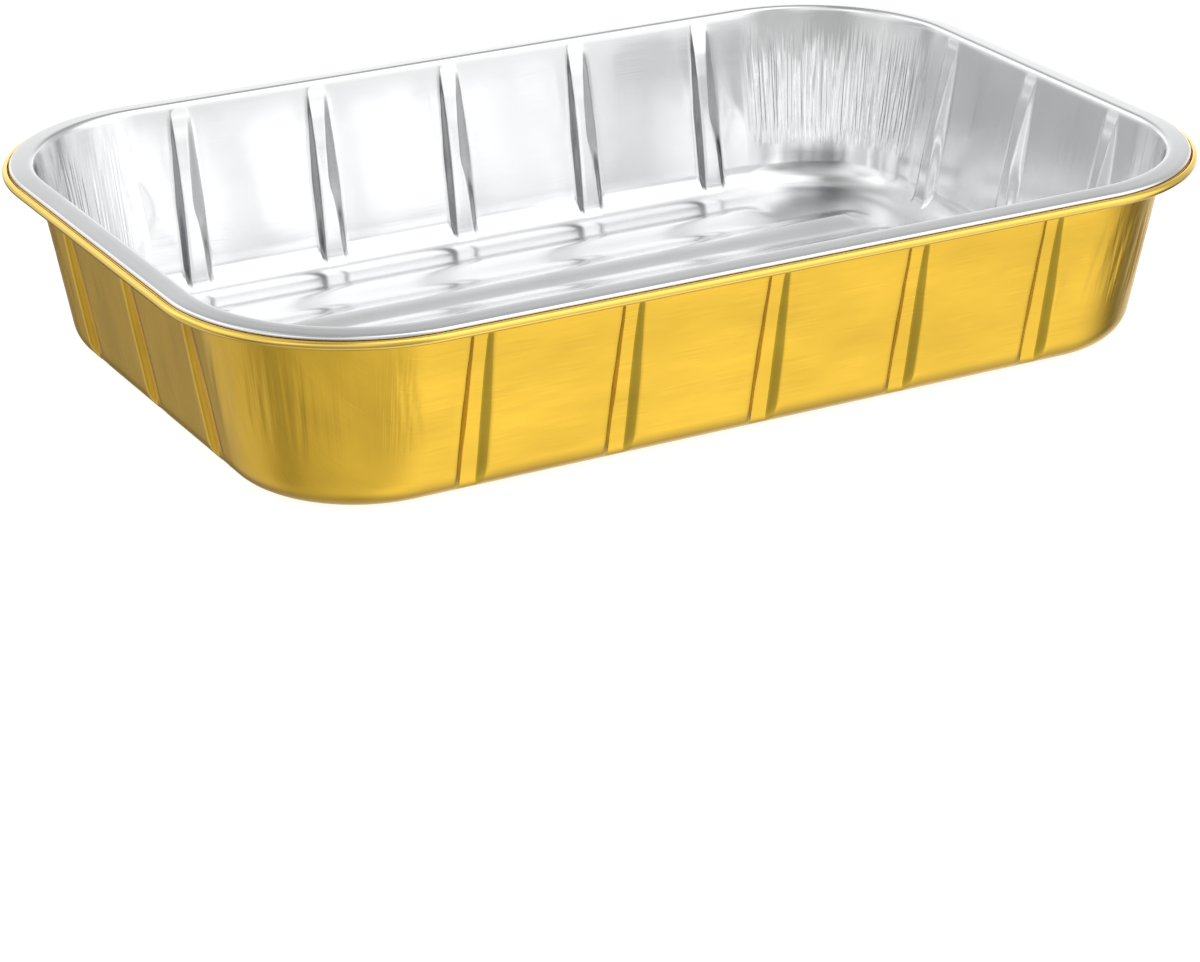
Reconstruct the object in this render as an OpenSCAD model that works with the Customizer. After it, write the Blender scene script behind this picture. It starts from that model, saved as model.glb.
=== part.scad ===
// Foil roasting pan: one sheet pressed to a tray, with ribs and a rolled rim.
// Millimetres, +Z up. The origin is under the middle of the floor.
// +X runs along the pan, +Y across it.

/* [Pan] */
// Length over the rolled edge
pan_length = 320; // [260:1:400]
// Width over the rolled edge
pan_width = 215; // [180:1:300]
// Height from the floor's underside to the top of the rim
pan_height = 57; // [48:0.5:80]
// Corner radius of the rolled edge, seen from above
corner_radius = 56; // [50:0.5:70]
// Thickness of the sheet
sheet = 0.4; // [0.3:0.05:0.6]

/* [Wall] */
// Lean of the walls from upright, in degrees
wall_lean = 10.5; // [6:0.5:14]
// Radius between floor and wall, on the outside
floor_radius = 10; // [7:0.5:13]

/* [Rim] */
// Width of the flange between its lip and its turned edge
flange_width = 4.8; // [4:0.1:8]
// Fall of the flange towards its edge, in degrees
flange_fall = 6; // [0:0.5:12]
// Radius of the lip between wall and flange, on the inside
lip_radius = 1.6; // [1.2:0.1:2.5]
// Radius of the flange's turned edge, on the outside
edge_radius = 0.8; // [0.75:0.05:1.2]
// Length of the upright step between the turned edge and the hem
hem_step = 0.8; // [0.4:0.1:1.5]
// Radius of the rolled hem, on the outside
hem_radius = 1.2; // [1:0.05:1.6]
// How far the hem curls round, in degrees
hem_curl = 285; // [240:5:300]

/* [Wall ribs] */
// Distance between the ribs of a long wall
long_wall_pitch = 45; // [38:0.5:60]
// Distance between the ribs of a short wall
short_wall_pitch = 42; // [30:0.5:50]
// Clear wall between the outermost rib and the corner
rib_corner_gap = 3; // [1:0.5:6]
// Depth of a wall rib at its foot
rib_foot_depth = 2; // [1.2:0.1:3]
// Depth of a wall rib at its waist
rib_waist_depth = 1.6; // [1:0.1:2.4]
// Width of a wall rib at its foot
rib_foot_width = 9.6; // [8:0.1:12]
// Width of a wall rib at its waist
rib_waist_width = 9.5; // [8:0.1:11]
// Width of a wall rib where its head has faded into the wall
rib_head_width = 5.8; // [4.5:0.1:7]
// Width of the flat in a rib's middle, at its foot
rib_foot_flat = 4.8; // [3:0.1:6]
// Width of that flat at the rib's waist, where it is narrowest
rib_waist_flat = 2.9; // [2:0.1:4]
// Height of a rib's waist over the floor's underside
rib_waist_height = 28; // [20:0.5:36]
// Distance from the top of the rim down to a rib's head
rib_head_drop = 2.5; // [2.5:0.5:4]

/* [Corner pleats] */
// Pleats in each corner of the wall
pleat_count = 10; // [4:1:12]
// Depth of a pleat in its middle
pleat_depth = 0.4; // [0.2:0.05:0.6]
// Width of a pleat in its middle
pleat_width = 3; // [2:0.1:4]
// Height of a pleat's foot over the floor's underside
pleat_foot = 14; // [12:0.5:20]
// Distance from the top of the rim down to a pleat's head
pleat_head_drop = 6; // [4:0.5:12]

/* [Floor ribs] */
// Width of a floor rib
floor_rib_width = 15.8; // [10:0.1:20]
// Width of a floor rib's crest
floor_rib_crest = 1.2; // [0.8:0.1:4]
// Height of a floor rib's crest
floor_rib_height = 1.9; // [1:0.1:3]
// Flat floor between two ribs
floor_rib_gap = 2.8; // [1.5:0.1:6]
// Least flat floor between the outermost rib and the wall's radius
floor_side_border = 5; // [3:0.5:10]
// Flat floor between the end of a long rib and the wall's radius
floor_end_border = 9; // [6:0.5:16]
// How much further in the outermost ribs stop at each end
short_rib_setback = 26.5; // [10:0.5:40]

/* [Hidden] */
$fn = 96;
foil_gold = [0.93, 0.74, 0.25];
// How far a shape runs past the surface that it cuts or joins
overrun = 1;
// How far the crest of a fading rib or pleat runs out of the sheet
fade_out = 0.1;

// Steps of the turns in the sheet's section, of a rib's height and of a pleat's
floor_turn_steps = 6;
lip_turn_steps = 5;
edge_turn_steps = 3;
hem_turn_steps = 13;
rib_steps = 4;
pleat_steps = 4;

// Half the straight length of the long and of the short sides
half_run_x = pan_length / 2 - corner_radius;
half_run_y = pan_width / 2 - corner_radius;

// The sheet's section is drawn with x outwards from the centre line of a
// corner and y upwards. The rolled edge gives the places across, and the
// floor and the top of the rim give the heights.
function along(angle) = [cos(angle), sin(angle)];
flange_normal = 90 - flange_fall;
wall_normal = 180 - wall_lean;
edge_y = pan_height - lip_radius + (lip_radius - edge_radius) * sin(flange_normal)
    - flange_width * sin(flange_fall);
edge_centre = [corner_radius - 2 * hem_radius + sheet - edge_radius, edge_y];
lip_centre = edge_centre - (lip_radius - edge_radius) * along(flange_normal)
    - flange_width * along(-flange_fall);
hem_centre = [corner_radius - hem_radius, edge_y - hem_step];
wall_top = lip_centre + (lip_radius - sheet) * along(wall_normal);
floor_x = wall_top.x - (floor_radius + (wall_top.y - floor_radius) * sin(wall_lean)) / cos(wall_lean);
floor_centre = [floor_x, floor_radius];

// The outer and the inner face of a straight wall at height z
function outer_face(z) = wall_top.x - (wall_top.y - z) * tan(wall_lean);
function inner_face(z) = outer_face(z) - sheet / cos(wall_lean);

// One turn of the sheet as a run of points, and the whole way of one of its
// faces from the floor to the free end of the hem. The inner face is at
// depth 0 and the outer face at the depth of the sheet.
function turn(centre, radius, start, end, steps) =
    [for (i = [0:steps]) centre + radius * along(start + (end - start) * i / steps)];
function floor_turn(depth) = turn(floor_centre, floor_radius - sheet + depth, 270, 360 - wall_lean,
    floor_turn_steps);
function lip_turn(depth) = turn(lip_centre, lip_radius - depth, wall_normal, flange_normal,
    lip_turn_steps);
function edge_turn(depth) = turn(edge_centre, edge_radius - depth, flange_normal, 0,
    edge_turn_steps);
function hem_turn(depth) = turn(hem_centre, hem_radius - sheet + depth, 180, 180 + hem_curl,
    hem_turn_steps);
function face_path(depth) = concat([[0, sheet - depth]], floor_turn(depth), lip_turn(depth),
    edge_turn(depth), hem_turn(depth));
function reversed(points) = [for (i = [len(points) - 1:-1:0]) points[i]];

module sheet_section() {
    polygon(concat(face_path(0), reversed(face_path(sheet))));
}

// All that lies inside the middle of the sheet, up to the lip
module inside_section() {
    polygon(concat([[0, wall_top.y], [0, sheet / 2]], floor_turn(sheet / 2),
        [[outer_face(wall_top.y) - sheet / 2, wall_top.y]]));
}

// Puts its children on the four straight walls, each with x outwards.
// $half_run and $pitch say how long the wall is and how far apart its ribs are.
module each_wall() {
    for (side = [0, 2]) rotate(90 * side) translate([half_run_x, 0, 0]) {
        $half_run = half_run_y;
        $pitch = short_wall_pitch;
        children();
    }
    for (side = [1, 3]) rotate(90 * side) translate([half_run_y, 0, 0]) {
        $half_run = half_run_x;
        $pitch = long_wall_pitch;
        children();
    }
}

// Puts its children on the four corners, each with a quarter turn from x to y
module each_corner() {
    for (corner = [[1, 1, 0], [-1, 1, 90], [-1, -1, 180], [1, -1, 270]])
        translate([corner.x * half_run_x, corner.y * half_run_y, 0]) rotate(corner.z) children();
}

module wall_run(half_run) {
    rotate([90, 0, 0]) linear_extrude(height = 2 * half_run, center = true) children();
}

module plain_tray() {
    translate([-half_run_x, -half_run_y, 0]) cube([2 * half_run_x, 2 * half_run_y, sheet]);
    each_wall() wall_run($half_run) sheet_section();
    each_corner() rotate_extrude(angle = 90) sheet_section();
}

// A solid lofted through rings of points that all have the same length
module loft(rings) {
    size = len(rings[0]);
    last = len(rings) - 1;
    polyhedron(
        points = [for (ring = rings) each ring],
        faces = [
            [for (i = [size - 1:-1:0]) i],
            [for (i = [0:size - 1]) last * size + i],
            for (j = [0:last - 1], i = [0:size - 1]) let (k = (i + 1) % size)
                each [[j * size + i, (j + 1) * size + k, (j + 1) * size + i],
                      [j * size + i, j * size + k, (j + 1) * size + k]]
        ]
    );
}

// A wall rib is a flat between two slanting sides. Its flat, its depth and the
// sides' run for each millimetre of depth change with the height. From its
// waist up, the rib gets shallower until it is lost in the wall.
foot_slant = (rib_foot_width - rib_foot_flat) / 2 / rib_foot_depth;
waist_slant = (rib_waist_width - rib_waist_flat) / 2 / rib_waist_depth;
rib_head = pan_height - rib_head_drop;
function eased(t) = (1 - cos(180 * t)) / 2;
function blend(low, high, t) = low + (high - low) * t;

// Levels of a rib from its foot up, each as height, half flat, depth and slant
rib_levels = concat(
    [[-overrun, rib_foot_flat / 2, rib_foot_depth, foot_slant]],
    [for (i = [0:rib_steps]) let (t = i / rib_steps)
        [blend(floor_radius, rib_waist_height, t), blend(rib_foot_flat, rib_waist_flat, eased(t)) / 2,
         blend(rib_foot_depth, rib_waist_depth, t), blend(foot_slant, waist_slant, t)]],
    [for (i = [1:rib_steps]) let (t = i / rib_steps)
        [blend(rib_waist_height, rib_head, t), blend(rib_waist_flat, rib_head_width, t * t) / 2,
         blend(rib_waist_depth, -fade_out, t * t), waist_slant]]
);

function rib_ring(face, z, half_flat, depth, slant) = let (half_mouth = half_flat + (depth + overrun) * slant)
    [[face + overrun, -half_mouth, z], [face - depth, -half_flat, z],
     [face - depth, half_flat, z], [face + overrun, half_mouth, z]];

// The inside of a rib is its outside moved by the sheet. Its flat is wider by
// half the turn from flat to side, so that the sheet keeps its thickness.
function growth(slant) = sheet * tan(atan(1 / slant) / 2);
module wall_rib(inside) {
    loft([for (level = rib_levels) let (z = level[0], slant = level[3])
        rib_ring(inside ? inner_face(z) : outer_face(z), z,
            level[1] + (inside ? growth(slant) : 0), level[2], slant)]);
}

module wall_ribs(inside) {
    beside = floor(($half_run - rib_corner_gap - rib_foot_width / 2) / $pitch);
    for (i = [-beside:beside]) translate([0, i * $pitch, 0]) wall_rib(inside);
}

// A pleat is a shallow fold, deepest in its middle and lost in the wall at both ends
pleat_slant = pleat_width / 2 / pleat_depth;
module pleat(inside) {
    loft([for (i = [0:pleat_steps]) let (
            t = i / pleat_steps,
            z = blend(pleat_foot, pan_height - pleat_head_drop, t),
            depth = blend(-fade_out, pleat_depth, sin(180 * t)),
            face = inside ? inner_face(z) : outer_face(z),
            half_mouth = (depth + overrun) * pleat_slant)
        [[face + overrun, -half_mouth, z], [face - depth, 0, z], [face + overrun, half_mouth, z]]]);
}

module corner_pleats(inside) {
    for (i = [0.5:pleat_count - 0.5]) rotate(90 * i / pleat_count) pleat(inside);
}

// Floor ribs fill the flat floor from side to side, the two outermost shorter
floor_rib_pitch = floor_rib_width + floor_rib_gap;
flat_half_x = half_run_x + floor_x;
flat_half_y = half_run_y + floor_x;
floor_rib_count = floor((2 * (flat_half_y - floor_side_border) + floor_rib_gap) / floor_rib_pitch);
floor_rib_slant = (floor_rib_width - floor_rib_crest) / 2 / floor_rib_height;

// Half the section of a floor rib, from its crest outwards
module half_rib_section(inside) {
    growth = inside ? growth(floor_rib_slant) : 0;
    lift = inside ? sheet : 0;
    low = inside ? sheet / 2 : -overrun;
    polygon([
        [0, low], [floor_rib_width / 2 + growth, low], [floor_rib_width / 2 + growth, lift],
        [floor_rib_crest / 2 + growth, floor_rib_height + lift], [0, floor_rib_height + lift]
    ]);
}

module floor_rib(half_length, inside) {
    half_straight = half_length - floor_rib_width / 2;
    for (end = [0, 180]) rotate(end) {
        translate([half_straight, 0, 0]) rotate(-90) rotate_extrude(angle = 180) half_rib_section(inside);
        rotate([90, 0, 90]) linear_extrude(height = 2 * half_straight, center = true) half_rib_section(inside);
    }
}

module floor_ribs(inside) {
    for (i = [0:floor_rib_count - 1]) {
        outermost = i == 0 || i == floor_rib_count - 1;
        translate([0, (i - (floor_rib_count - 1) / 2) * floor_rib_pitch, 0])
            floor_rib(flat_half_x - floor_end_border - (outermost ? short_rib_setback : 0), inside);
    }
}

module pan() {
    color(foil_gold) difference() {
        union() {
            plain_tray();
            each_wall() intersection() {
                wall_ribs(true);
                wall_run($half_run) inside_section();
            }
            each_corner() intersection() {
                corner_pleats(true);
                rotate_extrude(angle = 90) inside_section();
            }
            floor_ribs(true);
        }
        each_wall() wall_ribs(false);
        each_corner() corner_pleats(false);
        floor_ribs(false);
    }
}

pan();
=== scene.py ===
"""Foil roasting pan, gold outside and bare inside, on a white table.

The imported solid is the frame. This script replaces its one node with the
same sheet in fine detail: pressed ribs with rounded creases, the folds that
the drawn corners take, soft dents in the walls, and the grain of rolled foil.
Sizes are in millimetres in the classes, and in metres in the meshes.
"""

from __future__ import annotations

import logging
import math
import random
from dataclasses import dataclass, field
from enum import Enum
from functools import cache

import bmesh
import bpy
from mathutils import Matrix, Vector, noise

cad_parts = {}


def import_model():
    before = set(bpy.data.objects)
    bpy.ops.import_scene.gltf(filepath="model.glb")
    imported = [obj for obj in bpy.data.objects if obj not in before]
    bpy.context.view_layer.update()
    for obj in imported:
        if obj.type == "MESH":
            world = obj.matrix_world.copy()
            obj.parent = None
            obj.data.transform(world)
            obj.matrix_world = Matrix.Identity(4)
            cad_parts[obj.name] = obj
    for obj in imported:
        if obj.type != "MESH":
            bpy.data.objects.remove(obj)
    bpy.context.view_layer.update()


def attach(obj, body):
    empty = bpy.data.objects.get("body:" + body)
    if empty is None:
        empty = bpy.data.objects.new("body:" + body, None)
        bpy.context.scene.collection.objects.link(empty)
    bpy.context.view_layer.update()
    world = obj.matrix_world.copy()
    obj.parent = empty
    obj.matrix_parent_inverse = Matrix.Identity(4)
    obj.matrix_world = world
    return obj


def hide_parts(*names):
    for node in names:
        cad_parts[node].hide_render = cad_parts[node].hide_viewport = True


log = logging.getLogger("foil_pan")

MM = 0.001

Colour = tuple[float, float, float, float]
Tree = bpy.types.NodeTree
Socket = bpy.types.NodeSocket
Mesh = bmesh.types.BMesh
Row = list[bmesh.types.BMEdge]
Given = dict[str | int, object]

WHITE: Colour = (1.0, 1.0, 1.0, 1.0)


class Finish(Enum):
    """The two faces of the sheet, in the order of its material slots."""

    BARE = 0
    LACQUER = 1


class Side(Enum):
    """The four straight walls, by the quarter turns from +X to their outside."""

    RIGHT = 0
    BACK = 1
    LEFT = 2
    FRONT = 3

    @property
    def is_long(self) -> bool:
        """Whether it is one of the two long walls."""
        return self in (Side.BACK, Side.FRONT)

    @property
    def out(self) -> Vector:
        """The direction to the wall's outside."""
        return heading(self.value * 90.0)

    @property
    def tangent(self) -> Vector:
        """The direction along the wall, counterclockwise."""
        return Vector((-self.out.y, self.out.x))


def heading(angle: float) -> Vector:
    """The unit vector at an angle, in degrees."""
    return Vector((math.cos(math.radians(angle)), math.sin(math.radians(angle))))


def aimed(azimuth: float, elevation: float) -> Vector:
    """The direction at an azimuth from +X and an elevation, in degrees."""
    rise = heading(elevation)
    return Vector((*(heading(azimuth) * rise.x), rise.y))


def blend(low: float, high: float, share: float) -> float:
    """Go from low to high by a share from 0 to 1."""
    return low + (high - low) * share


def eased(share: float) -> float:
    """Ease a share in and out, held between 0 and 1."""
    held = min(max(share, 0.0), 1.0)
    return held * held * (3.0 - 2.0 * held)


def soft_least(first: float, second: float, reach: float) -> float:
    """Take the lesser of two values, with the corner between them rounded.

    Args:
        first: one value.
        second: the other value.
        reach: how far apart the two may be and still be blended.

    Returns:
        The rounded lesser value.
    """
    near = max(reach - abs(first - second), 0.0) / reach
    return min(first, second) - near * near * reach / 4.0


def between(value: float, knots: list[tuple[float, float]], soft: bool = False) -> float:
    """Read a line of knots, held at its two ends.

    Args:
        value: where to read.
        knots: pairs of place and value, in rising order of place.
        soft: whether the line is eased from knot to knot.

    Returns:
        The value on the line.
    """
    if value <= knots[0][0]:
        return knots[0][1]
    for (low, start), (high, end) in zip(knots, knots[1:]):
        if value <= high:
            share = (value - low) / (high - low)
            return blend(start, end, eased(share) if soft else share)
    return knots[-1][1]


def spaced(start: float, end: float, step: float) -> list[float]:
    """Places from start to end in equal steps no longer than step, without start."""
    count = max(1, math.ceil(abs(end - start) / step - 1e-6))
    return [blend(start, end, i / count) for i in range(1, count + 1)]


def arc(centre: Vector, radius: float, start: float, end: float, steps: int) -> list[Vector]:
    """Points on an arc.

    Args:
        centre: its centre.
        radius: its radius.
        start: the angle that it starts at, in degrees.
        end: the angle that it ends at.
        steps: the steps in between.

    Returns:
        The points from start to end.
    """
    return [centre + radius * heading(blend(start, end, i / steps)) for i in range(steps + 1)]


def extruded(bm: Mesh, edges: Row) -> tuple[list[bmesh.types.BMVert], Row]:
    """Extrude a row of edges where it stands.

    Args:
        bm: the mesh that holds the row.
        edges: the row.

    Returns:
        The new vertices and the new row of edges.
    """
    made = bmesh.ops.extrude_edge_only(bm, edges=edges)["geom"]
    verts = [item for item in made if isinstance(item, bmesh.types.BMVert)]
    fresh = set(verts)
    row = [item for item in made if isinstance(item, bmesh.types.BMEdge)
           and item.verts[0] in fresh and item.verts[1] in fresh]
    return verts, row


def placed(bm: Mesh, name: str) -> bpy.types.Object:
    """Turn a finished mesh into an object of the scene, and free it.

    Args:
        bm: the finished mesh.
        name: the object's name.

    Returns:
        The object, at the origin.
    """
    mesh = bpy.data.meshes.new(name)
    bm.to_mesh(mesh)
    bm.free()
    piece = bpy.data.objects.new(name, mesh)
    bpy.context.scene.collection.objects.link(piece)
    return piece


@dataclass(frozen=True)
class Band:
    """A soft band: it rises from low over one reach, and fades to high over another."""

    low: float
    rise: float
    high: float
    fade: float

    def at(self, value: float) -> float:
        """Strength of the band at a value, from 0 to 1."""
        return eased((value - self.low) / self.rise) * eased((self.high - value) / self.fade)


@dataclass(frozen=True)
class Section:
    """The sheet's section over a corner's centre line: across is x, up is z."""

    length: float = 320.0
    width: float = 215.0
    height: float = 57.0
    corner_radius: float = 56.0
    sheet: float = 0.4
    wall_lean: float = 10.5
    floor_radius: float = 10.0
    flange_width: float = 4.8
    flange_fall: float = 6.0
    lip_radius: float = 1.6
    edge_radius: float = 0.8
    hem_step: float = 1.4
    hem_radius: float = 1.2
    hem_curl: float = 285.0
    hem_gap: float = 0.4
    edge_drop: float = 0.35
    floor_lap: float = 1.5
    wall_rows: tuple[float, ...] = (
        10.5, 13, 16, 19, 22, 25, 28, 31, 34, 37, 40, 42.8, 45.2, 47.2, 48.8, 50.3, 51.7, 53, 54.3)

    @property
    def half_run(self) -> tuple[float, float]:
        """Half the straight length of the sides along X and along Y."""
        return self.length / 2 - self.corner_radius, self.width / 2 - self.corner_radius

    def straight(self, side: Side) -> tuple[float, float]:
        """Half the straight length of a side, and how far out its centre line lies."""
        half_x, half_y = self.half_run
        return (half_x, half_y) if side.is_long else (half_y, half_x)

    @property
    def edge_centre(self) -> Vector:
        """Centre of the flange's turned edge."""
        fall = math.radians(self.flange_fall)
        return Vector((
            self.corner_radius - 2 * self.hem_radius + self.sheet - self.edge_radius,
            self.height - self.lip_radius + (self.lip_radius - self.edge_radius) * math.cos(fall)
            - self.flange_width * math.sin(fall),
        ))

    @property
    def lip_centre(self) -> Vector:
        """Centre of the lip between wall and flange."""
        return (self.edge_centre
                - (self.lip_radius - self.edge_radius) * heading(90 - self.flange_fall)
                - self.flange_width * heading(-self.flange_fall))

    @property
    def hem_centre(self) -> Vector:
        """Centre of the rolled hem."""
        return Vector((self.corner_radius - self.hem_radius, self.edge_centre.y - self.hem_step))

    @property
    def wall_top(self) -> Vector:
        """Top of the wall's outer face."""
        return self.lip_centre + (self.lip_radius - self.sheet) * heading(180 - self.wall_lean)

    @property
    def floor_centre(self) -> Vector:
        """Centre of the turn between floor and wall."""
        lean = math.radians(self.wall_lean)
        top = self.wall_top
        rise = (top.y - self.floor_radius) * math.sin(lean)
        run = (self.floor_radius + rise) / math.cos(lean)
        return Vector((top.x - run, self.floor_radius))

    def inner_face(self, z: float) -> float:
        """How far out the inner face of a straight wall stands at height z."""
        lean = math.radians(self.wall_lean)
        run = (self.wall_top.y - z) * math.tan(lean)
        return self.wall_top.x - run - self.sheet / math.cos(lean)

    def bare_path(self) -> list[Vector]:
        """The bare face from the flat floor to the flange's turned edge."""
        lean = 180 - self.wall_lean
        flange = 90 - self.flange_fall
        foot = arc(self.floor_centre, self.floor_radius - self.sheet, 270, 360 - self.wall_lean, 11)
        wall = [Vector((self.inner_face(z), z)) for z in self.wall_rows]
        lip = arc(self.lip_centre, self.lip_radius, lean, flange, 5)
        edge = arc(self.edge_centre, self.edge_radius, flange, 0, 4)
        flat = [lip[-1].lerp(edge[0], i / 3) for i in (1, 2)]
        drop = edge[-1] - Vector((0, self.edge_drop))
        lap = foot[0] - Vector((self.floor_lap, 0))
        return [lap] + foot + wall + lip + flat + edge + [drop]

    def hem_outline(self) -> list[Vector]:
        """The closed outline of the hem's curl, with the upright step to it."""
        bare, lacquer = self.hem_radius - self.sheet, self.hem_radius
        rise = Vector((0, self.hem_step - self.hem_gap))
        inner = arc(self.hem_centre, bare, 180, 180 + self.hem_curl, 18)
        outer = arc(self.hem_centre, lacquer, 180, 180 + self.hem_curl, 18)
        return [inner[0] + rise] + inner + outer[::-1] + [outer[0] + rise]


@dataclass(frozen=True)
class RibCut:
    """A wall rib's widths and depth at one height."""

    height: float
    half_mouth: float
    left_flank: float
    right_flank: float
    depth: float


FAR_CUTS = (
    RibCut(2.0, 4.5, 1.1, 1.9, 1.9),
    RibCut(12.0, 4.5, 1.4, 2.4, 1.9),
    RibCut(19.0, 4.5, 1.6, 2.9, 1.8),
    RibCut(27.0, 4.6, 1.9, 4.3, 1.6),
    RibCut(36.0, 4.2, 1.5, 3.5, 1.3),
    RibCut(45.0, 3.7, 0.9, 2.3, 0.85),
    RibCut(52.0, 3.3, 0.4, 1.1, 0.3),
    RibCut(55.0, 3.1, 0.2, 0.3, -0.15),
)

NEAR_CUTS = (
    RibCut(2.0, 4.6, 2.0, 2.1, 2.0),
    RibCut(12.0, 4.6, 2.0, 2.2, 1.9),
    RibCut(24.0, 4.5, 2.1, 2.6, 1.8),
    RibCut(36.0, 4.0, 1.8, 2.1, 1.5),
    RibCut(46.0, 3.5, 1.3, 1.6, 1.1),
    RibCut(53.0, 3.2, 0.7, 0.9, 0.5),
    RibCut(55.5, 3.1, 0.3, 0.3, -0.1),
)

LEFT_CUTS = (
    RibCut(2.0, 4.3, 1.2, 1.2, 1.4),
    RibCut(24.0, 4.2, 1.1, 1.2, 1.25),
    RibCut(46.0, 3.3, 0.9, 0.9, 0.8),
    RibCut(55.5, 2.9, 0.3, 0.3, -0.1),
)


@dataclass(frozen=True)
class WallRib:
    """A rib pressed into a wall: a flat between two flanks, narrowest at its waist.

    Left and right are those of someone who looks at the wall from inside the pan.
    """

    cuts: tuple[RibCut, ...] = FAR_CUTS
    crease: float = 0.22
    foot_crease: float = 1.5
    least_flank: float = 0.35
    reach: float = 9.0
    foot_height: float = 10.0
    least_slope_depth: float = 0.3
    least_slope_run: float = 0.1
    columns: tuple[float, ...] = (0.0, 0.5, 0.92, 1.08, 1.9, 2.9, 3.85, 4.1, 5.2, 6.8, 9.0)

    def read(self, part: str, z: float) -> float:
        """Read one size of the cuts at height z, eased from cut to cut."""
        return between(z, [(cut.height, getattr(cut, part)) for cut in self.cuts], soft=True)

    def edges(self, column: float, z: float) -> tuple[float, float]:
        """Where the flat and the mouth end on a column's side, at height z."""
        flank = self.read("left_flank" if column > 0 else "right_flank", z)
        mouth = self.read("half_mouth", z)
        return mouth - flank, mouth

    def pressed(self, place: float, z: float) -> float:
        """How far the rib's own surface lies inside the wall's face.

        Args:
            place: the distance from the rib's middle, more than 0 to its left.
            z: the height.

        Returns:
            The depth there, less than 0 beyond the mouth.
        """
        flat, mouth = self.edges(place, z)
        depth = self.read("depth", z)
        slope = max(depth, self.least_slope_depth) / max(mouth - flat, self.least_slope_run)
        return depth - max(abs(place) - flat, 0.0) * slope

    def rounding(self, z: float) -> float:
        """How far the rib's creases are rounded at height z: most at its foot."""
        return blend(self.foot_crease, self.crease, eased(z / self.foot_height))

    def place(self, column: float, z: float) -> float:
        """Where a column of the mesh stands at height z, from the rib's middle.

        Args:
            column: the column's own place: 1 is the flat's edge, 4 the flank's.
            z: the height.

        Returns:
            The distance from the rib's middle, with the column's sign.
        """
        flat, mouth = self.edges(column, z)
        mouth = max(mouth, flat + self.least_flank)
        knots = [(0.0, 0.0), (1.0, flat), (4.0, mouth), (self.reach, self.reach)]
        return math.copysign(between(abs(column), knots), column)


@dataclass(frozen=True)
class FloorRib:
    """A raised rib of the floor, tent-shaped with rounded ends."""

    width: float = 15.8
    crest: float = 1.2
    height: float = 1.9
    gap: float = 2.8
    end_border: float = 9.0
    short_setback: float = 26.5
    count: int = 8
    crease: float = 0.35
    dimple_radius: float = 2.1
    dimple_depth: float = 0.9
    dimple_inset: float = 1.2
    dimple_fall: float = 1.6

    def centres(self) -> list[float]:
        """Place of each rib across the floor."""
        pitch = self.width + self.gap
        return [(i - (self.count - 1) / 2) * pitch for i in range(self.count)]

    def rise(self, x: float, y: float, half_floor: float) -> float:
        """Height of the floor over its flat at a point.

        Args:
            x: the place along the pan.
            y: the place across it.
            half_floor: half the flat floor's length.

        Returns:
            The height in millimetres.
        """
        centres = self.centres()
        nearest = min(centres, key=lambda centre: abs(centre - y))
        outermost = nearest in (centres[0], centres[-1])
        half = half_floor - self.end_border - (self.short_setback if outermost else 0.0)
        past = max(abs(x) - (half - self.width / 2), 0.0)
        away = math.hypot(past, y - nearest)
        slope = self.height / ((self.width - self.crest) / 2)
        tent = (self.width / 2 - away) * slope
        top = soft_least(tent, self.height, self.crease)
        top = -soft_least(-top, 0.0, self.crease)
        if not outermost:
            middle = half - self.width / 2 + self.dimple_inset
            pit = math.hypot(abs(x) - middle, y - nearest) / self.dimple_radius
            top -= self.dimple_depth * math.exp(-pit * pit * self.dimple_fall)
        return top


@dataclass(frozen=True)
class Fold:
    """One soft fold: along is in degrees in a corner, and in mm on a straight wall."""

    along: float
    tilt: float
    middle: float
    half_length: float
    half_width: float
    height: float

    def rise(self, along: float, z: float) -> float:
        """How far the fold pushes the wall inwards at a place and a height."""
        off = (along - self.along - self.tilt * (z - self.middle)) / self.half_width
        end = abs(z - self.middle) / self.half_length
        if abs(off) > 3.0 or end >= 1.0:
            return 0.0
        return self.height * math.exp(-off * off) * (1.0 - end * end) ** 1.5


@dataclass(frozen=True)
class Dent:
    """A kind of soft dent in the long walls: its places along them, and its sizes."""

    places: tuple[float, ...]
    tilt: float
    middle: float
    half_length: float
    half_width: float
    heights: tuple[float, float]

    def fold(self, place: float, tilt: float, dice: random.Random) -> Fold:
        """Draw the dent's height, and make its fold at a place."""
        return Fold(place, tilt, self.middle, self.half_length, self.half_width,
                    dice.uniform(*self.heights))


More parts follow.
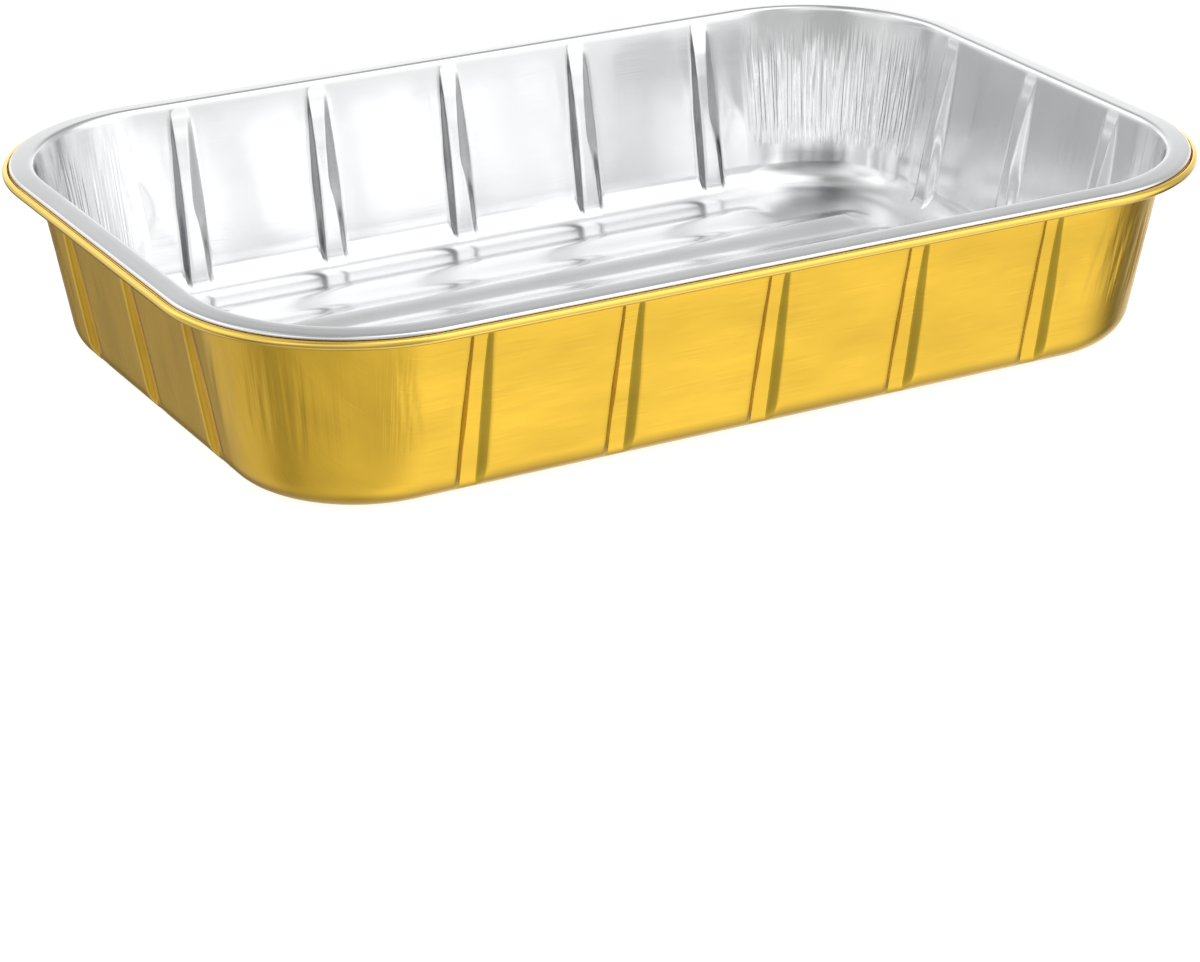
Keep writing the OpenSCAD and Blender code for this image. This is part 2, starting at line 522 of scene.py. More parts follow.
@dataclass
class Folds:
    """The folds of corners and walls, by a seeded dice so that each run is the same."""

    seed: int = 11
    spacing: float = 3.6
    spacing_share: tuple[float, float] = (0.7, 1.3)
    fan: float = 0.0075
    tilt: tuple[float, float] = (-0.07, 0.07)
    middle: tuple[float, float] = (28.0, 36.0)
    half_length: tuple[float, float] = (12.0, 19.0)
    half_width: tuple[float, float] = (0.65, 1.05)
    height: tuple[float, float] = (0.08, 0.22)
    ways: tuple[float, ...] = (-1.0, 1.0, 1.0)
    rib_dent: Dent = Dent((-83.0, -38.0, 7.0, 49.5, 94.5), 0.06, 41.0, 15.0, 2.2, (0.12, 0.22))
    end_dent: Dent = Dent((-98.5, -102.0, 98.5, 102.5), 0.22, 27.0, 13.0, 1.2, (0.25, 0.4))
    panel_dent: Dent = Dent((-67.0, 66.0), 0.1, 26.0, 18.0, 9.0, (0.05, 0.1))
    end_tilt_share: tuple[float, float] = (0.7, 1.2)
    corners: list[list[Fold]] = field(init=False)
    walls: dict[Side, list[Fold]] = field(init=False)

    def __post_init__(self) -> None:
        """Lay the folds out, corner by corner and wall by wall."""
        dice = random.Random(self.seed)
        self.corners = [self._corner(dice) for _ in Side]
        self.walls = {side: self._wall(side, dice) for side in Side}

    def _corner(self, dice: random.Random) -> list[Fold]:
        """Draw one corner's folds, which fan out towards the floor."""
        folds = []
        angle = 1.0
        while angle < 90.0:
            folds.append(Fold(
                along=angle,
                tilt=dice.uniform(*self.tilt) - (angle - 45.0) * self.fan,
                middle=dice.uniform(*self.middle),
                half_length=dice.uniform(*self.half_length),
                half_width=dice.uniform(*self.half_width),
                height=dice.choice(self.ways) * dice.uniform(*self.height),
            ))
            angle += self.spacing * dice.uniform(*self.spacing_share)
        return folds

    def _wall(self, side: Side, dice: random.Random) -> list[Fold]:
        """Draw a long wall's soft dents: beside its ribs, at its ends and in its panels."""
        folds = []
        if not side.is_long:
            return folds
        for place in self.rib_dent.places:
            shifted = place + dice.uniform(0.0, 1.0)
            folds.append(self.rib_dent.fold(shifted, self.rib_dent.tilt, dice))
        for place in self.end_dent.places:
            lean = math.copysign(self.end_dent.tilt, place) * dice.uniform(*self.end_tilt_share)
            folds.append(self.end_dent.fold(place, lean, dice))
        for place in self.panel_dent.places:
            folds.append(self.panel_dent.fold(place, self.panel_dent.tilt, dice))
        return folds

    def rise(self, station: Station, shift: float, z: float) -> float:
        """How far the folds push the wall inwards at a station and a height."""
        if station.side is None:
            return sum(fold.rise(station.angle, z) for fold in self.corners[station.corner])
        return sum(fold.rise(station.along + shift, z) for fold in self.walls[station.side])


@dataclass(frozen=True)
class Ripple:
    """One soft unevenness of the thin walls, as a noise over plan and height."""

    depth: float
    plan_scale: float
    upright_scale: float
    offset: float = 0.0

    def at(self, place: Vector, z: float) -> float:
        """How far it pushes the wall out at a plan point and a height."""
        return self.depth * noise.noise(Vector((
            place.x * self.plan_scale + self.offset, place.y * self.plan_scale,
            z * self.upright_scale)))


@dataclass(frozen=True)
class Station:
    """One column of the walls: where it stands in plan, and what it belongs to."""

    centre: Vector
    out: Vector
    side: Side | None = None
    along: float = 0.0
    column: float = 0.0
    on_rib: bool = False
    corner: int = 0
    angle: float = 0.0

    def at(self, across: float, shift: float) -> Vector:
        """The plan point at a distance out from the centre line, shifted along the wall."""
        tangent = Vector((-self.out.y, self.out.x))
        return self.centre + self.out * across + tangent * shift


@dataclass
class SheetMesh:
    """The sheet as one mesh: floor, walls, lip and flange, with its pressed forms."""

    section: Section
    wall_ribs: dict[Side, WallRib]
    floor_rib: FloorRib
    folds: Folds
    ripples: tuple[Ripple, ...] = (Ripple(0.09, 0.045, 0.018), Ripple(0.05, 0.13, 0.045, 40.0))
    ripple_start: float = 3.0
    ripple_rise: float = 12.0
    calm_start: float = 48.0
    calm_reach: float = 6.0
    calm: float = 0.75
    long_pitch: float = 45.0
    short_pitch: float = 42.0
    wall_step: float = 2.6
    corner_columns: tuple[int, ...] = (130, 90, 90, 100)
    floor_steps: tuple[tuple[float, float], ...] = (
        (80.0, 5.0), (99.0, 1.9), (112.0, 3.2), (125.0, 1.3))
    floor_rows: tuple[float, ...] = (0.0, 0.5, 1.1, 4.3, 7.2, 7.9, 8.6)
    border_steps: tuple[float, float] = (1.9, 1.6)
    bridge_inset: float = 3.2
    swell: float = 0.10
    swell_scale: float = 0.03
    swell_slice: float = 7.0
    least_swell: float = 0.02
    # Painted shade on the rib flanks, through the crease mask:
    right_flank_shade: float = 0.5
    flank_shade_start: float = 0.15
    flank_shade_reach: float = 0.3
    rim_start: float = 1.5
    rim_reach: float = 0.8
    edge_shine: float = 0.8
    edge_reach: float = 0.5
    # How far up the walls the floor mask reaches: painted shade in the bare colour, and the floor's
    # roughness.
    floor_reach: float = 8.0
    pleat_strength: tuple[float, ...] = (1.0, 0.25, 0.2, 0.3)
    pleat_turn: Band = Band(0.0, 14.0, 90.0, 10.0)
    pleat_height: Band = Band(13.0, 9.0, 54.0, 16.0)
    # Painted shade at the foot of the pleated corners, through the crease mask:
    foot_shade: float = 0.85
    foot_shade_turn: Band = Band(30.0, 18.0, 76.0, 14.0)
    foot_shade_height: Band = Band(2.0, 4.0, 16.0, 7.0)

    def stations(self) -> list[Station]:
        """The columns of the walls, counterclockwise from the right wall's front end."""
        stations: list[Station] = []
        for side in Side:
            half, away = self.section.straight(side)
            pitch, beside = (self.long_pitch, 2) if side.is_long else (self.short_pitch, 1)
            out, tangent = side.out, side.tangent
            base = out * away
            form = self.wall_ribs[side]
            columns = sorted({-column for column in form.columns} | set(form.columns))
            last = -half
            for k in range(-beside, beside + 1):
                rib = k * pitch
                plain = spaced(last, rib - form.reach, self.wall_step)[:-1]
                stations += [Station(base + tangent * place, out, side, place) for place in plain]
                stations += [Station(base + tangent * rib, out, side, rib, column, True)
                             for column in columns]
                last = rib + form.reach
            plain = spaced(last, half, self.wall_step)
            stations += [Station(base + tangent * place, out, side, place) for place in plain]
            centre = base + tangent * half
            count = self.corner_columns[side.value]
            for i in range(1, count + 1):
                turned = i / count * 90.0
                stations.append(Station(centre, heading(side.value * 90.0 + turned),
                                        corner=side.value, angle=turned))
        return stations

    def crease(self, station: Station, point: Vector) -> float:
        """How much painted shade a rib's flank gets at a station, through the crease mask: most on
        its left flank, less on its right, and only on the long walls.
        """
        across, z = point
        column = abs(station.column)
        if not (station.on_rib and station.side.is_long and 1.0 < column < 4.0):
            return 0.0
        rib = self.wall_ribs[station.side]
        middle = math.copysign(rib.edges(station.column, z)[0], station.column)
        sunk = across - (self.section.inner_face(z) - rib.pressed(middle, z))
        side = 1.0 if station.column > 0 else self.right_flank_shade
        return side * eased((sunk - self.flank_shade_start) / self.flank_shade_reach)

    def pleated(self, station: Station, z: float, turn: Band, height: Band) -> float:
        """How strongly a band of turn and height is marked in the corners: for the pleats' relief,
        and for the painted shade at a corner's foot.
        """
        if station.side is not None:
            return 0.0
        return self.pleat_strength[station.corner] * turn.at(station.angle) * height.at(z)

    def rim(self, across: float) -> float:
        """How far a point belongs to the flange mask, between the lip and the turned edge: painted
        shade on the bare face, a painted highlight on the lacquer, mostly taken off past the turned
        edge so that the edge shows lighter.
        """
        from_lip = across - self.section.lip_centre.x
        past_edge = across - self.section.edge_centre.x
        shine = self.edge_shine * eased(past_edge / self.edge_reach)
        return eased((from_lip + self.rim_start) / self.rim_reach) * (1.0 - shine)

    def spot(self, station: Station, point: Vector, is_wall: bool) -> tuple[Vector, float]:
        """Where the sheet is at a station and a point of its section.

        Args:
            station: the column.
            point: the point of the plain section.
            is_wall: whether it is on the foot or the wall, where ribs and folds are.

        Returns:
            The plan point and the height.
        """
        across, z = point
        shift = station.column
        if is_wall:
            if station.on_rib:
                rib = self.wall_ribs[station.side]
                shift = rib.place(station.column, z)
                pressed = self.section.inner_face(z) - rib.pressed(shift, z)
                across = soft_least(across, pressed, rib.rounding(z))
            across -= self.folds.rise(station, shift, z)
        return station.at(across + self.rippled(station.at(across, shift), z), shift), z

    def rippled(self, place: Vector, z: float) -> float:
        """How uneven the thin walls are at a plan point: most at middle height."""
        calmed = 1.0 - self.calm * eased((z - self.calm_start) / self.calm_reach)
        hold = eased((z - self.ripple_start) / self.ripple_rise) * calmed
        return hold * sum(ripple.at(place, z) for ripple in self.ripples)

    def build(self) -> bpy.types.Object:
        """Make the sheet's mesh object.

        Returns:
            The object, with its blank's flat coordinates as its UV map.
        """
        bm = bmesh.new()
        blank = bm.verts.layers.float_vector.new("blank")
        edges = self._floor(bm) + self._walls(bm)
        bmesh.ops.triangle_fill(bm, use_beauty=True, edges=edges, normal=(0, 0, 1))
        bmesh.ops.recalc_face_normals(bm, faces=bm.faces[:])
        middle = min(bm.faces, key=lambda face: face.calc_center_median().length)
        if middle.normal.z < 0:
            bmesh.ops.reverse_faces(bm, faces=bm.faces[:])
        uv = bm.loops.layers.uv.new("blank")
        for face in bm.faces:
            face.smooth = True
            for loop in face.loops:
                flat = loop.vert[blank]
                loop[uv].uv = (flat.x, flat.y)
        return placed(bm, "pressed_sheet")

    def _floor_places(self) -> tuple[list[float], list[float]]:
        """Columns and rows of the floor's grid, closer where ribs turn."""
        half_x, half_y = self.section.half_run
        radius = self.section.floor_centre.x - self.bridge_inset
        last_columns, last_rows = self.border_steps
        half = [0.0]
        for end, step in (*self.floor_steps, (half_x + radius, last_columns)):
            half += spaced(half[-1], end, step)
        columns = [-x for x in reversed(half[1:])] + half
        rows = sorted({round(centre + sign * off, 3) for centre in self.floor_rib.centres()
                       for off in self.floor_rows for sign in (-1, 1)})
        border = spaced(rows[-1], half_y + radius, last_rows)
        rows = [-y for y in reversed(border)] + rows + border
        return columns, rows

    def _floor(self, bm: Mesh) -> Row:
        """Grid the floor, round its corners and raise its ribs.

        Args:
            bm: the mesh to add to.

        Returns:
            The edges of the grid's border.
        """
        half_x, half_y = self.section.half_run
        radius = self.section.floor_centre.x - self.bridge_inset
        half_floor = half_x + self.section.floor_centre.x
        columns, rows = self._floor_places()
        blank = bm.verts.layers.float_vector["blank"]
        # The floor mask: painted shade in the bare colour, and the floor's roughness.
        floor = bm.verts.layers.float.new("floor")
        grid = bmesh.ops.create_grid(bm, x_segments=len(columns) - 1, y_segments=len(rows) - 1,
                                     size=1.0)
        for vert in grid["verts"]:
            i = round((vert.co.x + 1) / 2 * (len(columns) - 1))
            j = round((vert.co.y + 1) / 2 * (len(rows) - 1))
            x, y = columns[i], rows[j]
            a = max(abs(x) - half_x, 0.0) / radius
            b = max(abs(y) - half_y, 0.0) / radius
            if a > 0 and b > 0:
                x = math.copysign(half_x + radius * a * math.sqrt(1 - b * b / 2), x)
                y = math.copysign(half_y + radius * b * math.sqrt(1 - a * a / 2), y)
            rise = noise.noise(Vector((x * self.swell_scale, y * self.swell_scale,
                                       self.swell_slice)))
            hold = 1.0 - max(a, b) ** 4
            z = (self.section.sheet + self.floor_rib.rise(x, y, half_floor)
                 + max(self.swell * (0.5 + rise), self.least_swell) * hold)
            vert.co = Vector((x, y, z)) * MM
            vert[blank] = Vector((x, y, 0)) * MM
            vert[floor] = 1.0
        return [edge for edge in bm.edges if edge.is_boundary]

    def _walls(self, bm: Mesh) -> Row:
        """Raise the walls ring by ring from a closed loop round the floor.

        Args:
            bm: the mesh to add to.

        Returns:
            The edges of the first loop.
        """
        stations = self.stations()
        path = self.section.bare_path()
        top = self.section.wall_top
        index = bm.verts.layers.int.new("station")
        crease, rim, turn, pleated = (bm.verts.layers.float.new(name)
                                      for name in ("crease", "rim", "turn", "pleated"))
        floor = bm.verts.layers.float["floor"]
        blank = bm.verts.layers.float_vector["blank"]
        ring = bmesh.ops.create_circle(bm, segments=len(stations), radius=1.0)["verts"]
        for number, vert in enumerate(ring):
            vert[index] = number
        first = edges = [edge for edge in bm.edges if edge.is_wire]
        run = 0.0
        for step, point in enumerate(path):
            if step:
                ring, edges = extruded(bm, edges)
                run += (point - path[step - 1]).length
            is_wall = point.y < top.y and point.x < top.x
            for vert in ring:
                station = stations[vert[index]]
                place, z = self.spot(station, point, is_wall)
                vert[rim] = self.rim(point.x)
                vert[floor] = 1.0 - eased(z / self.floor_reach)
                vert[turn] = station.angle + 100.0 * station.corner
                if is_wall:
                    # Painted shade in colour: the rib flanks, and the feet of the pleated corners.
                    foot_shaded = self.pleated(station, z, self.foot_shade_turn, self.foot_shade_height)
                    vert[crease] = max(self.crease(station, point), self.foot_shade * foot_shaded)
                    vert[pleated] = self.pleated(station, z, self.pleat_turn, self.pleat_height)
                else:
                    vert[crease] = vert[pleated] = 0.0
                vert.co = Vector((place.x, place.y, z)) * MM
                flat = station.at(path[0].x + run, station.column)
                vert[blank] = Vector((flat.x, flat.y, 0)) * MM
        return first


@dataclass
class RolledHem:
    """The rolled edge outside the flange, swept round the rim."""

    section: Section
    corner_steps: int = 40
    run_steps: int = 20

    def build(self) -> bpy.types.Object:
        """Sweep the curl's outline round the rim.

        Returns:
            The object.
        """
        half_x, half_y = self.section.half_run
        bm = bmesh.new()
        outline = [bm.verts.new(Vector((half_x + point.x, -half_y, point.y)) * MM)
                   for point in self.section.hem_outline()]
        edges = [bm.edges.new(pair) for pair in zip(outline, outline[1:] + outline[:1])]
        for side in Side:
            half, away = self.section.straight(side)
            step = side.tangent.to_3d() * (2 * half / self.run_steps * MM)
            for _ in range(self.run_steps):
                verts, edges = extruded(bm, edges)
                bmesh.ops.translate(bm, vec=step, verts=verts)
            pivot = (side.out * away + side.tangent * half).to_3d() * MM
            spun = bmesh.ops.spin(bm, geom=verts + edges, cent=pivot, axis=(0, 0, 1),
                                  angle=math.pi / 2, steps=self.corner_steps, use_duplicate=False)
            edges = [item for item in spun["geom_last"] if isinstance(item, bmesh.types.BMEdge)]
        bmesh.ops.remove_doubles(bm, verts=bm.verts[:], dist=1e-6)
        bmesh.ops.recalc_face_normals(bm, faces=bm.faces[:])
        for face in bm.faces:
            face.smooth = True
            face.material_index = Finish.LACQUER.value
        # The rim mask gives the whole hem the lacquer's paler rim colour, a painted highlight, and
        # its rim roughness.
        rim = bm.verts.layers.float.new("rim")
        for vert in bm.verts:
            vert[rim] = 1.0
        return placed(bm, "rolled_hem")


def new_group(name: str, inputs: dict[str, str], outputs: dict[str, str]) -> Tree:
    """Make an empty shader node group with its sockets.

    Args:
        name: the group's name.
        inputs: socket names and kinds.
        outputs: socket names and kinds.

    Returns:
        The group's node tree, with its input and output nodes.
    """
    tree = bpy.data.node_groups.new(name, "ShaderNodeTree")
    for direction, sockets in (("INPUT", inputs), ("OUTPUT", outputs)):
        for socket, kind in sockets.items():
            tree.interface.new_socket(socket, in_out=direction, socket_type=f"NodeSocket{kind}")
    tree.nodes.new("NodeGroupInput").name = "in"
    tree.nodes.new("NodeGroupOutput").name = "out"
    return tree


def fed(tree: Tree, node: bpy.types.Node, given: Given) -> dict[str, Socket]:
    """Give a node its inputs.

    Args:
        tree: the node's tree.
        node: the node.
        given: what each input gets: a socket of the tree, or a value.

    Returns:
        The node's outputs.
    """
    for name, value in given.items():
        if isinstance(value, Socket):
            tree.links.new(value, node.inputs[name])
        else:
            node.inputs[name].default_value = value
    return node.outputs


def added(tree: Tree, kind: str, given: Given | None = None,
          **traits: object) -> dict[str, Socket]:
    """Add a shader node to a tree.

    Args:
        tree: the tree.
        kind: the node's kind.
        given: what each input gets: a socket of the tree, or a value.
        traits: the node's own settings.

    Returns:
        The node's outputs.
    """
    node = tree.nodes.new(f"ShaderNode{kind}")
    for trait, value in traits.items():
        setattr(node, trait, value)
    return fed(tree, node, given or {})


def calculated(tree: Tree, operation: str, *terms: Socket | float) -> Socket:
    """Add a sum, a product or the like of numbers and sockets."""
    return added(tree, "Math", dict(enumerate(terms)), operation=operation)["Value"]


def attribute(tree: Tree, name: str) -> Socket:
    """Read one of the mesh's own masks."""
    return added(tree, "Attribute", attribute_name=name)["Fac"]


def ranged(tree: Tree, value: Socket, low: float, high: float) -> Socket:
    """Bring a noise, which lies from 0.3 to 0.7, to a range of its own."""
    return added(tree, "MapRange", {"Value": value, "From Min": 0.3, "From Max": 0.7,
                                    "To Min": low, "To Max": high})["Result"]


def mixed(tree: Tree, mask: str, start: Socket | Colour, end: float | Colour) -> Socket:
    """Mix two values or two colours: the end shows where the mesh's mask is 1."""
    return added(tree, "Mix", {"Factor": attribute(tree, mask), "A": start, "B": end},
                 data_type="RGBA" if isinstance(end, tuple) else "FLOAT")["Result"]


@cache
def rolled_grain() -> Tree:
    """The grain that rolling leaves: fine streaks along the pan, and soft clouds.

    Returns:
        The node group, made once.
    """
    tree = new_group("rolled_grain", {"Vector": "Vector"},
                     {"Streaks": "Float", "Clouds": "Float", "Scratches": "Float"})
    for name, scale, detail in (
        ("Streaks", (55.0, 2600.0, 1.0), 3.0),
        ("Clouds", (26.0, 60.0, 1.0), 3.0),
        ("Scratches", (12.0, 900.0, 1.0), 5.0),
    ):
        place = added(tree, "Mapping", {
            "Vector": tree.nodes["in"].outputs["Vector"], "Scale": scale})
        waves = added(tree, "TexNoise", {
            "Vector": place["Vector"], "Scale": 1.0, "Detail": detail})
        fed(tree, tree.nodes["out"], {name: waves["Fac"]})
    return tree


@cache
def fine_pleats() -> Tree:
    """The fine upright pleats of a drawn corner, as a relief from 0 to 1.

    Returns:
        The node group, made once.
    """
    per_degree, per_metre, crest_width = 0.36, 14.0, 0.12
    tree = new_group("fine_pleats", {"Turn": "Float", "Height": "Float", "Mask": "Float"},
                     {"Relief": "Float"})
    given = tree.nodes["in"].outputs
    place = added(tree, "CombineXYZ", {
        "X": calculated(tree, "MULTIPLY", given["Turn"], per_degree),
        "Y": calculated(tree, "MULTIPLY", given["Height"], per_metre)})
    waves = added(tree, "TexNoise", {"Vector": place["Vector"], "Scale": 1.0, "Detail": 0.6})
    crest = calculated(tree, "PINGPONG", waves["Fac"], crest_width)
    level = added(tree, "MapRange", {"Value": crest, "From Max": crest_width},
                  interpolation_type="SMOOTHSTEP")
    held = calculated(tree, "MULTIPLY", level["Result"], given["Mask"])
    fed(tree, tree.nodes["out"], {"Relief": held})
    return tree


@dataclass(frozen=True)
class FoilFinish:
    """How one face of the foil looks."""

    name: str
    colour: Colour
    # Painted light: the flank and floor colours are painted shade; the rim colour is painted shade
    # on bare foil and a painted highlight on lacquer.
    flank_shade_colour: Colour
    rim_shade_and_highlight_colour: Colour
    floor_shade_colour: Colour
    roughness: float
    rim_roughness: float
    floor_roughness: float
    spread: float
    cloud_spread: float
    grain_depth: float
    pleat_depth: float
    coat: float
    streak_share: float = 0.35

    def material(self) -> bpy.types.Material:
        """Make the node material.

        Returns:
            The material.
        """
        material = bpy.data.materials.new(self.name)
        material.use_nodes = True
        tree = material.node_tree
        blank = added(tree, "UVMap", uv_map="blank")
        grain = added(tree, "Group", node_tree=rolled_grain(), given={"Vector": blank["UV"]})
        relief = calculated(tree, "MULTIPLY_ADD", grain["Streaks"], self.streak_share,
                            grain["Scratches"])
        fed(tree, tree.nodes["Principled BSDF"], {
            "Metallic": 1.0,
            "Coat Weight": self.coat,
            "Coat Roughness": self.rim_roughness,
            "Base Color": self._colour(tree, grain["Clouds"]),
            "Roughness": self._roughness(tree, grain["Streaks"]),
            "Normal": self._normal(tree, relief),
        })
        return material

    def _colour(self, tree: Tree, clouds: Socket) -> Socket:
        """The colour, with painted shade on the floor, the rib flanks and the corner feet, a flange
        colour that is painted shade on bare foil and a painted highlight on lacquer, and faint
        clouds.
        """
        colour = mixed(tree, "floor", self.colour, self.floor_shade_colour)
        colour = mixed(tree, "crease", colour, self.flank_shade_colour)
        colour = mixed(tree, "rim", colour, self.rim_shade_and_highlight_colour)
        shade = ranged(tree, clouds, 1.0 - self.cloud_spread, 1.0)
        return added(tree, "Mix", data_type="RGBA", blend_type="MULTIPLY",
                     given={"Factor": 1.0, "A": colour, "B": shade})["Result"]

    def _roughness(self, tree: Tree, streaks: Socket) -> Socket:
        """The roughness, spread by the streaks, with its own values on floor and flange."""
        rough = ranged(tree, streaks, self.roughness - self.spread, self.roughness + self.spread)
        rough = mixed(tree, "floor", rough, self.floor_roughness)
        return mixed(tree, "rim", rough, self.rim_roughness)

    def _normal(self, tree: Tree, relief: Socket) -> Socket:
        """The normal, with the relief of the grain and of the fine pleats."""
        place = added(tree, "TexCoord")["Object"]
        pleats = added(tree, "Group", node_tree=fine_pleats(), given={
            "Turn": attribute(tree, "turn"),
            "Height": added(tree, "SeparateXYZ", {"Vector": place})["Z"],
            "Mask": attribute(tree, "pleated"),
        })
        grained = added(tree, "Bump", {
            "Strength": 1.0, "Distance": self.grain_depth * MM, "Height": relief})["Normal"]
        return added(tree, "Bump", {
            "Strength": 1.0, "Distance": self.pleat_depth * MM, "Height": pleats["Relief"],
            "Normal": grained})["Normal"]


# Bare foil: darker greys on the flanks, flange and floor, all painted shade.
BARE_FOIL = FoilFinish(
    "bare_foil", colour=(0.90, 0.905, 0.91, 1.0), flank_shade_colour=(0.27, 0.27, 0.28, 1.0),
    rim_shade_and_highlight_colour=(0.52, 0.525, 0.53, 1.0), floor_shade_colour=(0.74, 0.745, 0.75, 1.0),
    roughness=0.14, rim_roughness=0.28, floor_roughness=0.24, spread=0.03, cloud_spread=0.04,
    grain_depth=0.0015, pleat_depth=0.24, coat=0.0,
)
# Lacquer: a darker gold on the flanks, painted shade, and a paler gold on hem and flange, a painted
# highlight; its floor keeps the plain gold.
GOLD_LACQUER = FoilFinish(
    "gold_lacquer", colour=(0.97, 0.61, 0.062, 1.0), flank_shade_colour=(0.70, 0.47, 0.05, 1.0),
    rim_shade_and_highlight_colour=(0.98, 0.68, 0.14, 1.0), floor_shade_colour=(0.97, 0.61, 0.062, 1.0),
    roughness=0.33, rim_roughness=0.20, floor_roughness=0.33, spread=0.06, cloud_spread=0.16,
    grain_depth=0.004, pleat_depth=0.10, coat=0.08,
)


@dataclass(frozen=True)
class Camera:
    """The photograph's camera, fitted to the rim and the walls."""

    azimuth: float = -29.18
    elevation: float = 23.46
    roll: float = -0.12
    distance: float = 1130.0
    focal_px: float = 3778.0
    target: tuple[float, float, float] = (-1.1, 0.0, -47.85)
    picture_width: float = 1200.0

    def place(self) -> None:
        """Put the camera into the scene."""
        back = aimed(self.azimuth - 90.0, self.elevation)
        right = Vector((0, 0, 1)).cross(back).normalized()
        up = back.cross(right)
        data = bpy.data.cameras.new("camera")
        data.sensor_width = 36.0
        data.lens = self.focal_px * data.sensor_width / self.picture_width
        data.clip_start, data.clip_end = 0.05, 50.0
        camera = bpy.data.objects.new("camera", data)
        level = Matrix((right, up, back)).transposed()
        turn = level @ Matrix.Rotation(math.radians(self.roll), 3, "Z")
        place = (Vector(self.target) + back * self.distance) * MM
        camera.matrix_world = Matrix.Translation(place) @ turn.to_4x4()
        bpy.context.scene.collection.objects.link(camera)
        bpy.context.scene.camera = camera


@dataclass(frozen=True)
class Lamp:
    """One soft lamp over the table, turned to the pan."""

    name: str
    place: tuple[float, float, float]
    size: tuple[float, float]
    power: float

    def hang(self) -> None:
        """Put the lamp into the scene."""
        data = bpy.data.lights.new(self.name, "AREA")
        data.shape = "RECTANGLE"
        data.size, data.size_y = self.size
        data.energy = self.power
        lamp = bpy.data.objects.new(self.name, data)
        lamp.location = self.place
        lamp.rotation_euler = (-Vector(self.place)).to_track_quat("-Z", "Y").to_euler()
        lamp.visible_camera = False
        bpy.context.scene.collection.objects.link(lamp)


@dataclass(frozen=True)
class Card:
    """A soft round patch of light far away; azimuth 0 is +X and 90 is +Y."""

    azimuth: float
    elevation: float
    strength: float


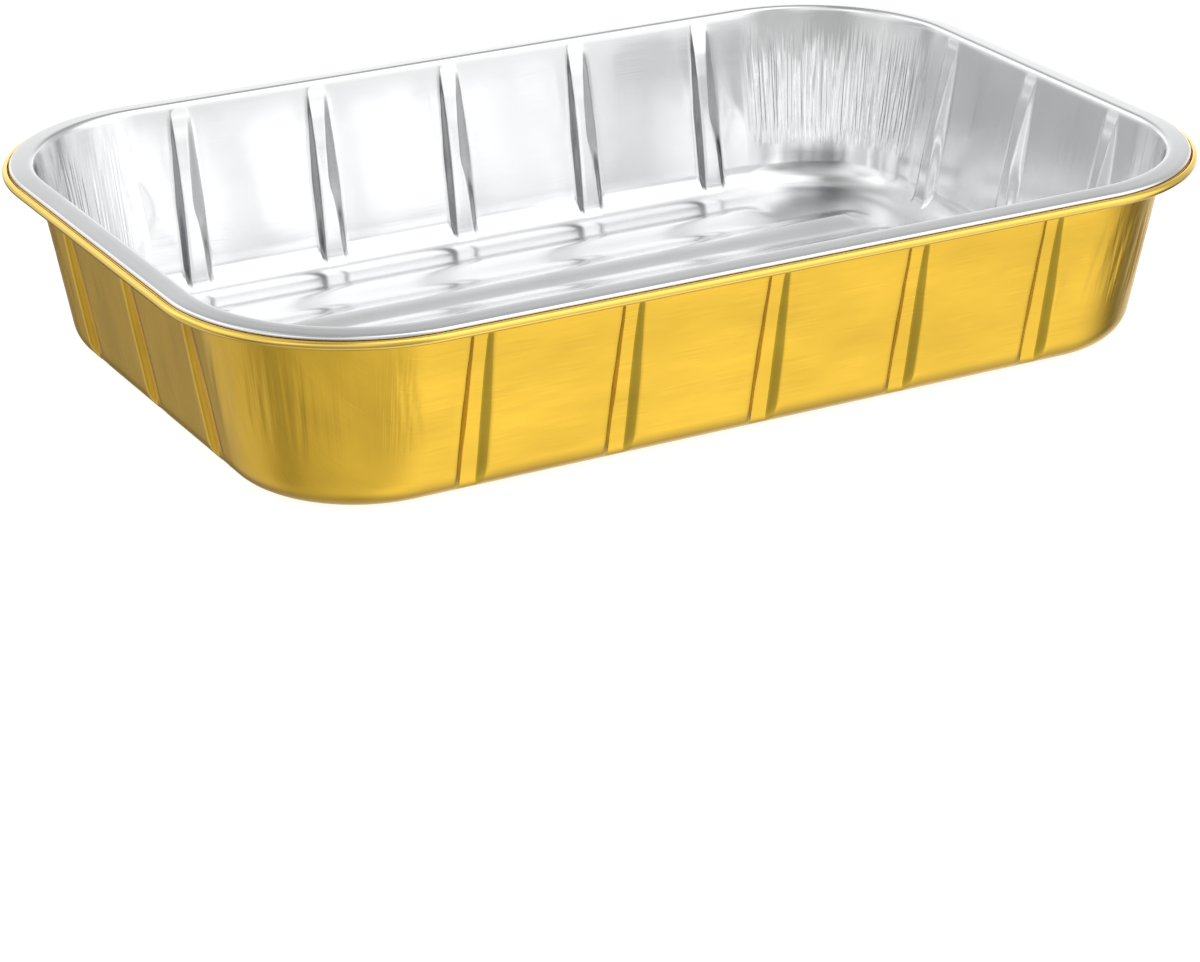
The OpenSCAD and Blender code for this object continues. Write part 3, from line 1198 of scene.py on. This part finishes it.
@dataclass
class Studio:
    """The table, the surroundings and the lamp."""

    card_edge: float = 38.0
    card_core: float = 8.0
    table_half: float = 6.0
    table_grey: float = 0.35
    table_glow: float = 0.87
    lamp: Lamp = Lamp("top", (0.3, -0.2, 1.6), (0.9, 0.9), 1.5)
    cards: tuple[Card, ...] = (
        Card(0, 10, 0.6), Card(45, 5, 0.6), Card(60, 0, 0.28), Card(75, 5, 0.6),
        Card(135, 5, 0.15), Card(180, 5, 0.35), Card(225, 5, 0.24), Card(270, 5, 0.38),
        Card(315, 5, 0.7), Card(45, 30, 0.22), Card(75, 30, 0.18), Card(105, 15, 0.55),
        Card(135, 30, 0.45), Card(180, 30, 0.7), Card(225, 30, 0.28), Card(270, 30, 0.25),
        Card(315, 32, 0.75), Card(125, 48, 0.8), Card(230, 46, 0.35), Card(0, 60, 0.3),
        Card(45, 60, 0.3), Card(225, 60, 0.35), Card(315, 60, 0.85), Card(315, -55, 0.7),
        Card(270, -55, 0.35), Card(225, -55, 0.33), Card(180, -55, 0.3), Card(45, -58, 0.3),
        Card(110, -62, 0.22), Card(315, -25, 0.5), Card(270, -25, 0.12), Card(225, -25, 0.2),
        Card(135, -25, 0.6), Card(45, -25, 0.8),
    )

    def table(self) -> None:
        """Lay the white table: frosted and lit from below, so that foil sees through it."""
        bm = bmesh.new()
        bmesh.ops.create_grid(bm, x_segments=1, y_segments=1, size=self.table_half)
        table = placed(bm, "table")
        material = bpy.data.materials.new("table_white")
        material.use_nodes = True
        tree = material.node_tree
        white = fed(tree, tree.nodes["Principled BSDF"], {
            "Base Color": (*[self.table_grey] * 3, 1.0), "Roughness": 0.8,
            "Specular IOR Level": 0.0})["BSDF"]
        glow = added(tree, "Emission", {"Strength": self.table_glow})["Emission"]
        lit = added(tree, "AddShader", {0: white, 1: glow})["Shader"]
        clear = added(tree, "BsdfTransparent")["BSDF"]
        ray = added(tree, "LightPath")
        seen = added(tree, "MixShader", {0: ray["Is Camera Ray"], 1: white, 2: lit})["Shader"]
        whole = added(tree, "MixShader", {0: ray["Is Glossy Ray"], 1: seen, 2: clear})["Shader"]
        fed(tree, tree.nodes["Material Output"], {"Surface": whole})
        table.data.materials.append(material)

    def card_group(self) -> Tree:
        """The node group that lights one card.

        Returns:
            The group, from a direction, the card's axis and its strength to its light.
        """
        tree = new_group("card", {"Direction": "Vector", "Axis": "Vector", "Strength": "Float"},
                         {"Light": "Float"})
        given = tree.nodes["in"].outputs
        facing = added(tree, "VectorMath", {0: given["Direction"], 1: given["Axis"]},
                       operation="DOT_PRODUCT")
        soft = added(tree, "MapRange", interpolation_type="SMOOTHSTEP", given={
            "Value": facing["Value"],
            "From Min": math.cos(math.radians(self.card_edge)),
            "From Max": math.cos(math.radians(self.card_core)),
            "To Max": given["Strength"],
        })
        fed(tree, tree.nodes["out"], {"Light": soft["Result"]})
        return tree

    def surroundings(self) -> None:
        """Fill the world: white to the camera, and lit by the cards for everything else."""
        world = bpy.data.worlds.new("studio")
        bpy.context.scene.world = world
        world.use_nodes = True
        tree = world.node_tree
        tree.nodes.clear()
        toward = added(tree, "TexCoord")["Generated"]
        group = self.card_group()
        total = None
        for card in self.cards:
            light = added(tree, "Group", node_tree=group, given={
                "Direction": toward, "Axis": aimed(card.azimuth, card.elevation),
                "Strength": card.strength})["Light"]
            total = calculated(tree, "ADD", total, light) if total else light
        lit = added(tree, "Background", {"Color": WHITE, "Strength": total})["Background"]
        white = added(tree, "Background", {"Color": WHITE})["Background"]
        ray = added(tree, "LightPath")["Is Camera Ray"]
        seen = added(tree, "MixShader", {0: ray, 1: lit, 2: white})["Shader"]
        added(tree, "OutputWorld", {"Surface": seen})

    def build(self) -> None:
        """Lay the table, fill the world and hang the lamp."""
        self.table()
        self.surroundings()
        self.lamp.hang()


@dataclass
class FoilPan:
    """The whole pan: the pressed sheet and its rolled hem."""

    section: Section = Section()
    finishes: tuple[FoilFinish, FoilFinish] = (BARE_FOIL, GOLD_LACQUER)

    def build(self) -> list[bpy.types.Object]:
        """Make the sheet and the hem.

        Returns:
            The two pieces.
        """
        ribs = {Side.RIGHT: WallRib(), Side.BACK: WallRib(),
                Side.LEFT: WallRib(LEFT_CUTS), Side.FRONT: WallRib(NEAR_CUTS)}
        sheet = SheetMesh(self.section, ribs, FloorRib(), Folds()).build()
        wall = sheet.modifiers.new("thickness", "SOLIDIFY")
        wall.thickness = self.section.sheet * MM
        wall.offset = -1.0
        wall.material_offset = Finish.LACQUER.value
        wall.material_offset_rim = Finish.LACQUER.value
        hem = RolledHem(self.section).build()
        materials = [finish.material() for finish in self.finishes]
        for piece in (sheet, hem):
            for material in materials:
                piece.data.materials.append(material)
            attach(piece, "root")
            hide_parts("pan")
        return [sheet, hem]


def main() -> None:
    """Build the scene."""
    logging.basicConfig(level=logging.INFO, format="%(name)s: %(message)s")
    bpy.context.scene.view_settings.view_transform = "Standard"
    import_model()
    Camera().place()
    for piece in FoilPan().build():
        log.info("%s: %d faces", piece.name, len(piece.data.polygons))
    Studio().build()


if __name__ == "__main__":
    main()
